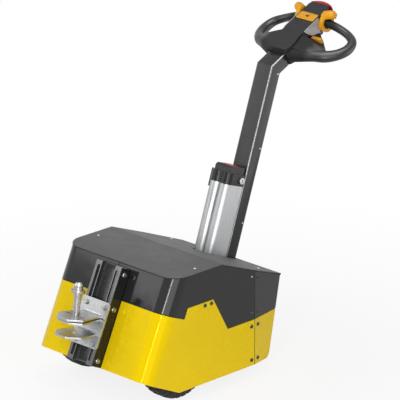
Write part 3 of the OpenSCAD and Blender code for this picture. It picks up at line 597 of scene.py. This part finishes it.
# Near-black rubber seal between the lid and the covers, all the way round, that paints the shadow line under the
# lid's edge
SHADOW_SEAL_R = 1.5
SHADOW_SEAL_DROP = 4.5
CORNER_R = 53.3
CORNER_STEPS = 12
mesh = bmesh.new()
corner_x = half_w / MM - CORNER_R
tail_x = corner_x + CORNER_R - (LID_END - SEAM_Y) * math.tan(math.radians(REAR_TAPER))
lean = math.radians(FRONT_LEAN)
fall = math.tan(math.radians(LID_SLOPE))
rim = [(0, LID_END), (tail_x, LID_END), (corner_x + CORNER_R, SEAM_Y), (corner_x + CORNER_R, 0)]
for k in range(CORNER_STEPS + 1):
    q = math.radians(90 - 90 / CORNER_STEPS * k)
    depth = CORNER_R * (1 - math.cos(q))
    rise = (depth * math.sin(lean) - SHADOW_SEAL_DROP) / math.cos(lean)
    back = depth * math.cos(lean) + rise * math.sin(lean)
    rim.append((corner_x + CORNER_R * math.sin(q), back - LID_FLAT))
rim += [(-x, y) for x, y in reversed(rim)]
points = []
for x, y in rim:
    drop = SHADOW_SEAL_DROP + fall * max(0, y)
    points.append(Vector((x * MM, bend_y + y * MM, lid_h - drop * MM)))
tube(mesh, points, [SHADOW_SEAL_R * MM] * len(points))
piece("lid_shadow_seal", mesh, SHADOW_AND_SEAM_RUBBER)

# Rubber strips in the upright seams of the side covers
STRIP_R = 1.1
STRIP_IN = 0.6
skirt_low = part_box("skirt_right")[0].z / MM
seam_top = lid_h / MM - fall * SEAM_Y - SHADOW_SEAL_DROP
mesh = bmesh.new()
for side in SIDES:
    ends = (skirt_low + STRIP_R, seam_top)
    points = [on_side(side, SEAM_Y, h) @ mm(0, 0, -STRIP_IN) for h in ends]
    tube(mesh, points, [STRIP_R * MM] * 2)
piece("seam_strips", mesh, SHADOW_AND_SEAM_RUBBER)

# Crowned horn key with a plain horn mark, and crowned thumb keys beside the head
HORN_MIDDLE = 159
HORN_HALF = (36.5, 16.5)
HORN_CORNER = 5.5
HORN_CROWN = [(0, -4.9), (0, 0.6), (0.4, 1.2), (1.3, 1.7), (2.8, 2.0), (5, 2.2)]
MARK_H = 2.1
MARK_LAYERS = [(0, -0.3), (0, 0.2), (0.3, 0.4)]
THUMB_X, THUMB_Y, THUMB_Z = 63, 113, -39
THUMB_HALF = (20, 7)
THUMB_CORNER = 7
THUMB_CROWN = [(0, -14.5), (0, 1.2), (0.5, 2.2), (1.6, 3.0), (3.2, 3.5), (5.5, 3.7)]
mesh = bmesh.new()
place = on_head @ Matrix.Translation(mm(0, HORN_MIDDLE, 0))
key_cap(mesh, place, rounded_outline(*HORN_HALF, HORN_CORNER), HORN_CROWN)
piece("horn_key", mesh, MATERIALS["control_plastic"], stands_for=["horn_button"])

mesh = bmesh.new()
place = on_head @ Matrix.Translation(mm(0, HORN_MIDDLE, MARK_H))
key_cap(mesh, place, horn_outline, MARK_LAYERS)
piece("horn_mark", mesh, BLACK_PARTS_AND_SLOT_SHADE)

mesh = bmesh.new()
for side in SIDES:
    place = on_head @ Matrix.Translation(mm(side * THUMB_X, THUMB_Y, THUMB_Z))
    key_cap(mesh, place, rounded_outline(*THUMB_HALF, THUMB_CORNER), THUMB_CROWN)
piece("thumb_keys", mesh, MATERIALS["control_plastic"], stands_for=["side_buttons"])

# Charge label and row of lamps on the battery's cap, and a near-black pad that paints the shade in the slot of its
# key
CAP_TOP = 379.4
LABEL_X, LABEL_Y = 6, -46
LABEL_SIZE = (48, 36, 0.8)
LAMP_X = -26
LAMPS = (-63, -55, -47, -39)
LAMP_SIZE = (9, 5, 1.2)
BARS = (-6, 6, 18)
BAR_LIFT = 0.4
BAR_SIZE = (5, 24, 0.5)
SLOT_PLACE = (48, -27, 339.2)
SLOT_SIZE = (0.8, 2.4, 11)
LABEL_SOFT, LAMP_SOFT, BAR_SOFT, SLOT_SOFT = 0.3, 0.4, 0.2, 0.3
mesh = bmesh.new()
pad(mesh, on_arm @ Matrix.Translation(mm(LABEL_X, LABEL_Y, CAP_TOP)), LABEL_SIZE, LABEL_SOFT)
piece("charge_label", mesh, LABEL_RED)
mesh = bmesh.new()
for y in LAMPS:
    pad(mesh, on_arm @ Matrix.Translation(mm(LAMP_X, y, CAP_TOP)), LAMP_SIZE, LAMP_SOFT)
for x in BARS:
    pad(mesh, on_arm @ Matrix.Translation(mm(x, LABEL_Y, CAP_TOP + BAR_LIFT)), BAR_SIZE, BAR_SOFT)
piece("charge_lamps", mesh, MATERIALS["pale_plastic"])
# Painted shade: a near-black pad stands for the dark opening of the key slot
mesh = bmesh.new()
pad(mesh, on_arm @ Matrix.Translation(mm(*SLOT_PLACE)), SLOT_SIZE, SLOT_SOFT)
piece("key_slot_shade", mesh, BLACK_PARTS_AND_SLOT_SHADE)


# Tyres with staggered lugs on a round-shouldered carcass
TYRE_R = 130
TYRE_HALF = 31
TYRE_BEAD_R = 86.5
LUG_H = 5
LUGS = 34
# A lug's width as a share of its pitch, its slant, its shares of the half width with the drop there,
# and the lift and growth of its foot and its top
LUG_WIDE = 0.62
LUG_SLANT = 0.45
LUG_STATIONS = [(0.06, 0), (0.45, 0), (0.78, 1.5), (0.96, 8)]
LUG_FOOT = (-7, 1.1)
LUG_TOP = (0, 0.86)


def tyre(side):
    """Piece for one drive tyre: a turned carcass with two rows of lugs."""
    name = "left" if side < 0 else "right"
    hub = Vector(joint_of["drive_" + name]["pos_m"])
    place = turned(hub, 90, "Y")
    mesh = bmesh.new()
    half = TYRE_HALF
    tread = TYRE_R - LUG_H
    shell = [
        (TYRE_BEAD_R, -0.62 * half), (TYRE_BEAD_R + 1, -0.8 * half), (TYRE_BEAD_R + 5, -0.86 * half),
        (TYRE_BEAD_R + 7, -0.9 * half), (TYRE_BEAD_R + 9, -0.86 * half), (TYRE_BEAD_R + 20, -0.97 * half),
        (tread - 12, -0.99 * half), (tread - 5, -0.93 * half), (tread - 1, -0.8 * half),
        (tread, -0.5 * half),
    ]
    rings = shell + [(r, -z) for r, z in reversed(shell)]
    lathe(mesh, rings, place, sides=96)
    for row in SIDES:
        for k in range(LUGS):
            angle = 2 * math.pi * (k + 0.25 * row) / LUGS
            lug(mesh, place, angle, row)
    return piece("tyre_tread_" + name, mesh, MATERIALS["tyre_rubber"], "drive_wheel_" + name,
                 ["tyre_" + name])


def lug(mesh, place, angle, row):
    """Adds one slanted tread block between the middle of the tread and a shoulder."""
    wide = LUG_WIDE * 2 * math.pi / LUGS
    slant = LUG_SLANT * wide
    rings = []
    for share, drop in LUG_STATIONS:
        radius = TYRE_R - drop
        across = row * share * TYRE_HALF
        middle = angle + slant * share
        corners = []
        for lift, grow in (LUG_FOOT, LUG_TOP):
            for sign in SIDES:
                q = middle + 0.5 * sign * wide * grow
                corners.append((radius + lift, q))
        low_a, low_b, high_a, high_b = corners
        rings.append([
            mesh.verts.new(place @ mm(r * math.cos(q), r * math.sin(q), across))
            for r, q in (low_a, high_a, high_b, low_b)
        ])
    skin(mesh, rings)


for side in SIDES:
    tyre(side)

# Nuts on the rims' outer faces
NUT_CIRCLE = 54
NUTS = 5
NUT_R = 7.5
RIM_FACE = 6
for side, name in zip(SIDES, ("left", "right")):
    mesh = bmesh.new()
    hub = Vector(joint_of["drive_" + name]["pos_m"])
    facing = turned(hub + mm(side * RIM_FACE, 0, 0), side * 90, "Y")
    for k in range(NUTS):
        q = 2 * math.pi * k / NUTS
        spot = mm(NUT_CIRCLE * math.cos(q), NUT_CIRCLE * math.sin(q), 0)
        washer_bolt(mesh, facing @ Matrix.Translation(spot), NUT_R)
    piece("wheel_nuts_" + name, mesh, MATERIALS["bolt_steel"], "drive_wheel_" + name)

# Nuts of the castors' wheel bolts, which swivel with the forks, and bolts under their top plates
FORK_FACE = 23
CASTOR_NUT_R = 8.5
PLATE_UNDER = 131
PLATE_BOLT_R = 5.0
PLATE_BOLTS = [(x, y) for x in (-38, 38) for y in (-32, 32)]
for side, name in zip(SIDES, ("left", "right")):
    hub = Vector(joint_of["roll_" + name]["pos_m"])
    mesh = bmesh.new()
    for end in SIDES:
        washer_bolt(mesh, turned(hub + mm(end * FORK_FACE, 0, 0), end * 90, "Y"), CASTOR_NUT_R)
    piece("castor_nuts_" + name, mesh, MATERIALS["bolt_steel"], "castor_" + name)
    king = Vector(joint_of["swivel_" + name]["pos_m"])
    mesh = bmesh.new()
    for x, y in PLATE_BOLTS:
        place = Vector((king.x + x * MM, king.y + y * MM, PLATE_UNDER * MM))
        washer_bolt(mesh, turned(place, 180), PLATE_BOLT_R)
    piece("castor_plate_bolts_" + name, mesh, MATERIALS["bolt_steel"])

# Finned jacket and end bell of the drive motor
MOTOR_R = 48.8
MOTOR_START, MOTOR_END = -55, 44
MOTOR_H = 142
FINS = 9
FIN_PITCH = 9
FIN_H = 3
barrel = MOTOR_R + 0.2
mesh = bmesh.new()
profile = [(0.3 * MOTOR_R, MOTOR_START), (barrel, MOTOR_START)]
for k in range(FINS):
    foot = MOTOR_START + 3 + FIN_PITCH * k
    profile += [(barrel, foot), (barrel + FIN_H, foot + 1)]
    profile += [(barrel + FIN_H, foot + 3.4), (barrel, foot + 4.4)]
profile += [
    (barrel, MOTOR_END - 12), (MOTOR_R + 2, MOTOR_END - 11), (MOTOR_R + 2, MOTOR_END - 2),
    (MOTOR_R - 1, MOTOR_END + 1.5), (0.75 * MOTOR_R, MOTOR_END + 3), (0.4 * MOTOR_R, MOTOR_END + 3.5),
    (0.38 * MOTOR_R, MOTOR_END + 1.5), (0.1 * MOTOR_R, MOTOR_END + 1.3),
]
axis = turned(Vector((0, bend_y, MOTOR_H * MM)), -90)
lathe(mesh, profile, axis, sides=72)
piece("motor_jacket", mesh, MATERIALS["motor_paint"], stands_for=["drive_motor"])

# Screws that close the tiller head from below
HEAD_UNDER = -62
HEAD_SCREW_R = 4.5
HEAD_SCREWS = [(x, y) for x in (-27, 27) for y in (62, 148)]
mesh = bmesh.new()
for x, y in HEAD_SCREWS:
    button_screw(mesh, on_head @ turned(mm(x, y, HEAD_UNDER), 180), HEAD_SCREW_R)
piece("head_screws", mesh, BLACK_PARTS_AND_SLOT_SHADE)


# Tiller arm as a drawn tube, its long corners rounded and given a pale metal that paints a highlight along them
CORNER_WIDTH = 3.5
CORNER_SEGMENTS = 4
LEAST_EDGE = 70
LEAST_TURN = 60
mesh = bmesh.new()
mesh.from_mesh(nodes["tiller_arm"].data)
bmesh.ops.remove_doubles(mesh, verts=mesh.verts[:], dist=WELD * MM)
bmesh.ops.dissolve_limit(mesh, angle_limit=math.radians(FLAT), verts=mesh.verts[:], edges=mesh.edges[:])
mesh.normal_update()
corners = []
for edge in mesh.edges:
    if edge.is_manifold and edge.is_convex and edge.calc_length() > LEAST_EDGE * MM:
        if edge.calc_face_angle() > math.radians(LEAST_TURN):
            corners.append(edge)
bmesh.ops.bevel(mesh, geom=corners, offset=CORNER_WIDTH * MM, offset_type="OFFSET", segments=CORNER_SEGMENTS,
                profile=0.5, affect="EDGES", clamp_overlap=False, material=1)
arm = piece("tiller_tube", mesh, MATERIALS["arm_paint"], stands_for=["tiller_arm"],
            smooth=30)
# The corners' pale metal paints the highlight along the arm's edges
arm.data.materials.append(EDGE_HIGHLIGHT_METAL)

# Camera at the photograph's viewing angle
AZIMUTH, ELEVATION, ROLL = 45.19, 19.09, -0.13
LENS = 315
SENSOR = 36
VIEW_END = 200
STAND = Vector((7.2214, -7.162774, 4.0341))
az, el, roll = (math.radians(a) for a in (AZIMUTH, ELEVATION, ROLL))
back = Vector((math.sin(az) * math.cos(el), -math.cos(az) * math.cos(el), math.sin(el)))
right = (-back).cross(Vector((0, 0, 1))).normalized()
up = right.cross(-back)
turn_right = math.cos(roll) * right + math.sin(roll) * up
turn_up = math.cos(roll) * up - math.sin(roll) * right
camera_data = bpy.data.cameras.new("camera")
camera_data.lens = LENS
camera_data.sensor_width = SENSOR
camera_data.clip_end = VIEW_END
camera = bpy.data.objects.new("camera", camera_data)
camera.matrix_world = Matrix.Translation(STAND) @ Matrix((turn_right, turn_up, back)).transposed().to_4x4()
bpy.context.scene.collection.objects.link(camera)
bpy.context.scene.camera = camera


# Soft studio light
def softbox(name, place, target, size, power, diffuse=True, gloss=True):
    """Rectangular lamp of a size in metres that faces a target, for diffuse light, gloss or both."""
    lamp = bpy.data.lights.new(name, "AREA")
    lamp.shape = "RECTANGLE"
    lamp.size, lamp.size_y = size
    lamp.energy = power
    box = bpy.data.objects.new(name, lamp)
    box.location = place
    box.rotation_mode = "QUATERNION"
    box.rotation_quaternion = (Vector(target) - Vector(place)).to_track_quat("-Z", "Y")
    box.visible_camera = False
    box.visible_diffuse = diffuse
    box.visible_glossy = gloss
    bpy.context.scene.collection.objects.link(box)


MIDDLE = Vector((0, -0.15, 0.3))


def around(azimuth, elevation, distance):
    """Place round the machine, with azimuth 0 straight before the hitch and 90 on its right."""
    turn, rise = math.radians(azimuth), math.radians(elevation)
    flat = distance * math.cos(rise)
    return MIDDLE + Vector((flat * math.sin(turn), -flat * math.cos(turn), distance * math.sin(rise)))


softbox("key", around(56.5, 13.5, 3.0), MIDDLE, (1.85, 2.0), 27)
softbox("edge_strip", around(37, 13.5, 3.0), MIDDLE, (0.2, 2.0), 30)
softbox("left_fill", around(-50, 34, 2.3), MIDDLE, (1.9, 1.5), 17)
softbox("back_fill", around(205, 8, 3.0), MIDDLE, (1.6, 1.2), 20, gloss=False)
softbox("right_card", (1.15, 1.2, 0.6), (0, 0.15, 0.5), (1.0, 1.1), 7, diffuse=False)
softbox("top", (0.1, 0.2, 3.4), MIDDLE, (1.2, 1.2), 14)
softbox("sky_card", (0.6, -0.3, 3.0), (0, 0.4, 0.95), (2.2, 2.2), 72, diffuse=False)


def seen_directly(tree):
    """1 for rays that show the surroundings as a picture: from the camera, in gloss and through glass."""
    path = tree.nodes.new("ShaderNodeLightPath")
    total = path.outputs["Is Camera Ray"]
    for ray in ("Is Glossy Ray", "Is Transmission Ray"):
        total = combined(tree, "MAXIMUM", total, path.outputs[ray])
    return total


# Surroundings: white where they are seen, dimmer where they only light the machine
AMBIENT = 0.25
WHITE = (1, 1, 1, 1)
world = bpy.data.worlds.new("studio")
bpy.context.scene.world = world
world.use_nodes = True
tree = world.node_tree
ambient = tree.nodes["Background"]
ambient.inputs["Color"].default_value = WHITE
ambient.inputs["Strength"].default_value = AMBIENT
white = tree.nodes.new("ShaderNodeBackground")
white.inputs["Color"].default_value = WHITE
choice = tree.nodes.new("ShaderNodeMixShader")
tree.links.new(seen_directly(tree), choice.inputs["Fac"])
tree.links.new(ambient.outputs["Background"], choice.inputs[1])
tree.links.new(white.outputs["Background"], choice.inputs[2])
tree.links.new(choice.outputs["Shader"], tree.nodes["World Output"].inputs["Surface"])

# Pale floor that keeps the machine's shadow and fades into the white surroundings
FLOOR_R = 4.0
FLOOR_SHADE = (0.92, 0.92, 0.92, 1)
FLOOR_GLOW = 0.85
FADE_START, FADE_END = 0.5, 1.6
mesh = bmesh.new()
bmesh.ops.create_circle(mesh, cap_ends=True, segments=96, radius=FLOOR_R)
data = bpy.data.meshes.new("floor")
mesh.to_mesh(data)
mesh.free()
floor = bpy.data.objects.new("floor", data)
bpy.context.scene.collection.objects.link(floor)
floor_paint, tree, shader = shader_of("floor", Base_Color=FLOOR_SHADE, Roughness=0.9, Specular_IOR_Level=0.1)
glow = tree.nodes.new("ShaderNodeEmission")
share = tree.nodes.new("ShaderNodeMath")
share.operation = "MULTIPLY"
share.inputs[1].default_value = FLOOR_GLOW
tree.links.new(seen_directly(tree), share.inputs[0])
lifted = tree.nodes.new("ShaderNodeMixShader")
tree.links.new(share.outputs["Value"], lifted.inputs["Fac"])
tree.links.new(shader.outputs["BSDF"], lifted.inputs[1])
tree.links.new(glow.outputs["Emission"], lifted.inputs[2])
place = tree.nodes.new("ShaderNodeTexCoord")
reach = tree.nodes.new("ShaderNodeVectorMath")
reach.operation = "LENGTH"
tree.links.new(place.outputs["Object"], reach.inputs[0])
clear = tree.nodes.new("ShaderNodeBsdfTransparent")
faded = tree.nodes.new("ShaderNodeMixShader")
fade = between(tree, reach.outputs["Value"], 0.0, 1.0, FADE_START, FADE_END)
tree.links.new(fade, faded.inputs["Fac"])
tree.links.new(lifted.outputs["Shader"], faded.inputs[1])
tree.links.new(clear.outputs["BSDF"], faded.inputs[2])
tree.links.new(faded.outputs["Shader"], tree.nodes["Material Output"].inputs["Surface"])
data.materials.append(floor_paint)

bpy.context.scene.view_settings.view_transform = "Standard"
